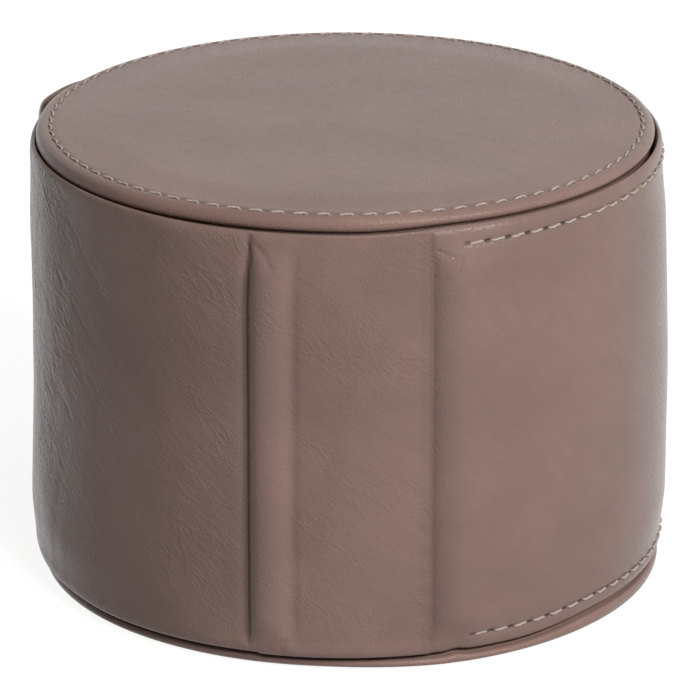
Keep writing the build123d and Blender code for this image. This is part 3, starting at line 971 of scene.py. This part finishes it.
def disc_frames(end):
    """Places of the ring's stitches on one end disc."""
    flip, face_height = (1, ROLL_HEIGHT) if end == "upper" else (-1, 0.0)
    frames = []
    for index in range(disc_stitch_count()):
        outward, along = directions(2 * math.pi * index / disc_stitch_count(), flip)
        middle = outward * DISC_STITCH_RADIUS + (0, 0, face_height)
        frames.append((middle, along, -outward, np.array([0, 0, float(flip)])))
    return frames


def row_frames(row):
    """Places of the stitches along one edge of the shell."""
    start, _, pitch = row_run(row)
    height = ROW_HEIGHTS[row]
    frames = []
    for index in range(ROW_STITCHES):
        place = start + index * pitch
        turn = place / WRAP_RADIUS
        outward, along = directions(turn)
        moved = lower_edge_lift(place) * falling(height, *LOWER_ZONE)
        moved = moved - upper_edge_drop(math.degrees(turn)) * rising(height, *UPPER_ZONE)
        middle = outward * (WRAP_RADIUS + soft_outline(place, height)) + (0, 0, height + moved)
        frames.append((middle, along, np.array([0, 0, 1.0]), outward))
    return frames


# Watch cushion

def oval_reach(turn, drawn):
    """How far the cushion's outline of four arcs lies from its middle, drawn in by a measure."""
    half_length, half_depth = CUSHION_HALF_LENGTH - drawn, CUSHION_HALF_DEPTH - drawn
    end_radius = CUSHION_END_RADIUS - drawn
    spread = half_length ** 2 + half_depth ** 2 - 2 * half_length * end_radius
    side_radius = spread / (2 * (half_depth - end_radius))
    drop, shift = side_radius - half_depth, half_length - end_radius
    join = side_radius * shift / np.hypot(shift, drop)
    ahead, sideways = np.abs(np.cos(turn)), np.abs(np.sin(turn))
    by_end = shift * ahead + np.sqrt(end_radius ** 2 - (shift * sideways) ** 2)
    by_side = np.sqrt(side_radius ** 2 - (drop * ahead) ** 2) - drop * sideways
    return np.where(by_side * ahead < join, by_side, by_end)


def cushion_blank(grow):
    """Closed body of the watch cushion about its own middle: an oval fullest at mid height."""
    turns = np.arange(128) / 128 * 2 * math.pi
    share, turn = grid(np.linspace(0, 1, 41), turns)
    drawn = CUSHION_DRAWN_IN * np.abs(2 * share - 1) ** 4 - grow
    up = CUSHION_LOW + share * (CUSHION_HIGH - CUSHION_LOW)
    return round_axis(oval_reach(turn, drawn), turn, up)


def cushion_mesh(points):
    rows, columns = points.shape[:2]
    faces = grid_faces(rows, columns, True).tolist()
    ends = [[*range(columns)][::-1], [*range((rows - 1) * columns, rows * columns)]]
    return mesh_object("cushion", points, faces + ends)


def inflate(piece):
    """Cloth under inner pressure, worked out ten times as large, with each point's movement capped."""
    scale, voxel, cap, pressure, quality, frames = 10.0, 1.7, 1.3, 4.0, 6, 20
    piece.data.transform(Matrix.Scale(scale, 4))
    remesh = piece.modifiers.new("remesh", "REMESH")
    remesh.mode = "VOXEL"
    remesh.voxel_size = voxel * scale * MM
    apply_modifiers(piece)
    start = points_of(piece)
    cloth = piece.modifiers.new("cloth", "CLOTH")
    cloth.settings.use_pressure = True
    cloth.settings.uniform_pressure_force = pressure
    cloth.settings.effector_weights.gravity = 0
    cloth.settings.quality = quality
    for number in range(frames):
        bpy.context.scene.frame_set(number + 1)
    apply_modifiers(piece)
    moved = points_of(piece) - start
    length = np.maximum(np.linalg.norm(moved, axis=1, keepdims=True), 1e-9)
    limit = cap * scale * MM
    settled = start + moved / length * limit * np.tanh(length / limit)
    set_points(piece, settled)
    piece.modifiers.new("subdivide", "SUBSURF").levels = 1
    apply_modifiers(piece)
    piece.data.transform(Matrix.Scale(1 / scale, 4))
    bpy.context.scene.frame_set(1)


def apply_modifiers(piece):
    """Keep what the piece's modifiers make of its mesh, and drop them."""
    bpy.context.view_layer.update()
    seen = piece.evaluated_get(bpy.context.evaluated_depsgraph_get())
    made = bpy.data.meshes.new_from_object(seen)
    piece.modifiers.clear()
    piece.data = made


def points_of(piece):
    points = np.empty(len(piece.data.vertices) * 3)
    piece.data.vertices.foreach_get("co", points)
    return points.reshape(-1, 3)


def set_points(piece, points):
    piece.data.vertices.foreach_set("co", points.ravel())
    piece.data.update()


def sew_cushion(piece):
    """Seams near both ends and down the back, gathers beside them, and ends held flat by the plates."""
    stretch, end_seam_at = 1.12, 3.2
    points = points_of(piece) / MM
    middle = (CUSHION_LOW + CUSHION_HIGH) / 2
    points[:, 2] = middle + stretch * (points[:, 2] - middle)
    turn = np.arctan2(points[:, 1] / CUSHION_HALF_DEPTH, points[:, 0] / CUSHION_HALF_LENGTH)
    run = turn * CUSHION_MEAN_REACH
    height = points[:, 2]
    to_end = np.minimum(height - CUSHION_LOW, CUSHION_HIGH - height)
    on_side = rising(to_end, 0, 1.5)
    end_seam = bell(to_end - end_seam_at, 0.7)
    back_seam = bell(run - 0.5 * math.pi * CUSHION_MEAN_REACH, 0.8) * rising(to_end, 3.0, 2)
    gathers = bell(to_end - 5.5, 3.5) * ripples(run, 0.12 * height, 51, 2.6, 6.5)
    wide = ripples(run, height, 52, 12, 34)
    move = (0.16 * gathers + 0.22 * wide - 0.55 * end_seam - 0.6 * back_seam) * on_side
    points = points + round_axis(1, turn, 0) * move[:, None]
    on_end = np.abs(to_end) < 0.4
    points[:, 2] = np.clip(points[:, 2], CUSHION_LOW, CUSHION_HIGH)
    points[:, :2] *= foam_cleared(points)[:, None]
    set_points(piece, points * MM)
    # A painted-shade mark in the end and back seams, which the cushion's suede material doesn't read.
    store_mark(piece.data, "painted_shade", np.clip(0.5 * end_seam + 0.6 * back_seam, 0, 1) * on_side)
    store_places(piece.data, np.where(on_end[:, None], points, stacked(run, height, 0)))


def foam_cleared(points):
    """The factor that brings each point of the cushion's side out to just over its foam."""
    cover = 0.6
    polar, reach = np.arctan2(points[:, 1], points[:, 0]), np.hypot(points[:, 0], points[:, 1])
    from_middle = 2 * (points[:, 2] - CUSHION_LOW) / (CUSHION_HIGH - CUSHION_LOW) - 1
    least = oval_reach(polar, CUSHION_DRAWN_IN * from_middle ** 2 + cover)
    return np.where(reach > 0.9 * least, np.maximum(least / np.maximum(reach, 1), 1), 1)


def make_cushion(material):
    """The loose watch cushion, behind the roll's axis, its seam to the back."""
    piece = cushion_mesh(cushion_blank(-0.4))
    inflate(piece)
    sew_cushion(piece)
    piece.data.shade_smooth()
    back = math.radians(MOUTH_ANGLE - 180)
    turned = Matrix.Rotation(back - math.pi / 2, 4, "Z")
    shifted = Matrix.Translation(Vector((math.cos(back), math.sin(back), 0)) * CUSHION_SETBACK * MM)
    piece.data.transform(shifted @ turned)
    piece.data.materials.clear()
    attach(finished(piece, material), "cushion")
    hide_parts("cushion_cover")


# Carried-over CAD nodes

def dress(material, *names):
    """Give carried-over CAD nodes their material."""
    for name in names:
        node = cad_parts[name]
        node.data.materials.clear()
        node.data.materials.append(material)


def dress_inner_parts(plate_suede):
    dress(suede_material("disc_suede", LINING_COLOUR, True), "lower_end_lining", "upper_end_lining")
    dress(foam_material(), "lower_end_foam", "upper_end_foam", "shell_padding", "panel_padding",
          "flap_padding", "cushion_foam")
    dress(fibreboard_material(), "lower_end_board", "upper_end_board", "shell_board", "panel_board",
          "flap_board")
    rib_cord = cord_material()
    dress(rib_cord, "right_rib_strip")
    make_left_rib_cord(rib_cord)
    dress(metal_material("magnet", (0.56, 0.55, 0.53), 0.30), "shell_magnets")
    dress(metal_material("steel", (0.60, 0.60, 0.61), 0.34), "flap_strikes")
    dress(plate_suede, "cushion_lower_plate", "cushion_upper_plate")


# Studio

def make_floor():
    """A plain pale floor that reads white where nothing shades it."""
    reach, level = 3000.0, -0.02
    corners = np.array([(-1, -1, 0), (1, -1, 0), (1, 1, 0), (-1, 1, 0)]) * reach + (0, 0, level)
    floor = mesh_object("floor", corners, [(0, 1, 2, 3)])
    material, tree = nodes_of("floor")
    paper = add_node("BsdfDiffuse", {"Color": seen_directly(tree, 0.30, 0.60)})
    glow = add_node("Emission", {"Strength": seen_directly(tree, 0.92)})
    both = add_node("AddShader", {0: paper.outputs[0], 1: glow.outputs[0]})
    add_node("OutputMaterial", {"Surface": both.outputs[0]})
    floor.data.materials.append(material)


def seen_directly(tree, strength, otherwise=0.0):
    """The strength where the camera, or a gloss or glass, sees the backdrop, and another elsewhere."""
    path = tree.nodes.new("ShaderNodeLightPath")
    seen = maths("MAXIMUM", path.outputs["Is Camera Ray"], path.outputs["Is Glossy Ray"])
    seen = maths("MAXIMUM", seen, path.outputs["Is Transmission Ray"])
    return ranged(seen, 0, 1, otherwise, strength)


def make_world():
    world = bpy.data.worlds.new("studio")
    world.use_nodes = True
    tree = world.node_tree
    background = tree.nodes["Background"]
    background.inputs["Color"].default_value = (1, 1, 1, 1)
    tree.links.new(seen_directly(tree, 1.0, 0.02), background.inputs["Strength"])
    bpy.context.scene.world = world


def make_lamp(name, place, size, power):
    """A soft lamp turned to the roll's middle."""
    data = bpy.data.lights.new(name, "AREA")
    data.shape = "DISK"
    data.size = size
    data.energy = power
    lamp = placed(name, data)
    lamp.location = place
    aim = Vector((0, 0, ROLL_HEIGHT / 2 * MM)) - lamp.location
    lamp.rotation_euler = aim.to_track_quat("-Z", "Y").to_euler()


def make_camera():
    """A long lens above the front."""
    focal_length, sensor_width, distance = 283.6, 36.0, 908.6
    tilt = math.radians(20.13)
    aim = Vector((0.57, 0, 35.66)) * MM
    back = Vector((0, -math.cos(tilt), math.sin(tilt)))
    data = bpy.data.cameras.new("camera")
    data.lens = focal_length
    data.sensor_width = sensor_width
    data.clip_start, data.clip_end = 0.05, 20
    camera = placed("camera", data)
    camera.location = aim + back * distance * MM
    camera.rotation_euler = (math.pi / 2 - tilt, 0, 0)
    bpy.context.scene.camera = camera


outer_leather = leather_material("outer_leather", LEATHER_COLOUR, wrinkled=True)
disc_leather = leather_material("disc_leather", DISC_COLOUR)
lining_suede = suede_material("lining_suede", LINING_COLOUR)
cushion_suede = suede_material("cushion_suede", CUSHION_COLOUR)
thread = thread_material()

make_skin(outer_leather)
make_linings(lining_suede)
for end, seam_depth in DISC_SEAM_DEPTHS.items():
    make_end_cover(end, disc_leather, seam_depth)
for end, sink in DISC_STITCH_SINKS.items():
    make_stitches(f"{end}_disc_thread", f"{end}_end_stitching", disc_frames(end), DISC_STITCH_SLANT, sink)
for row, edge in enumerate(("lower", "upper")):
    make_stitches(f"{edge}_row_thread", f"shell_{edge}_stitching", row_frames(row), ROW_STITCH_SLANT, 0.0)
make_cushion(cushion_suede)
dress_inner_parts(suede_material("plate_suede", CUSHION_COLOUR, True))

make_floor()
make_world()
for lamp_name, lamp_look in LAMPS.items():
    make_lamp(lamp_name, *lamp_look)
make_camera()
bpy.context.scene.view_settings.view_transform = "Standard"
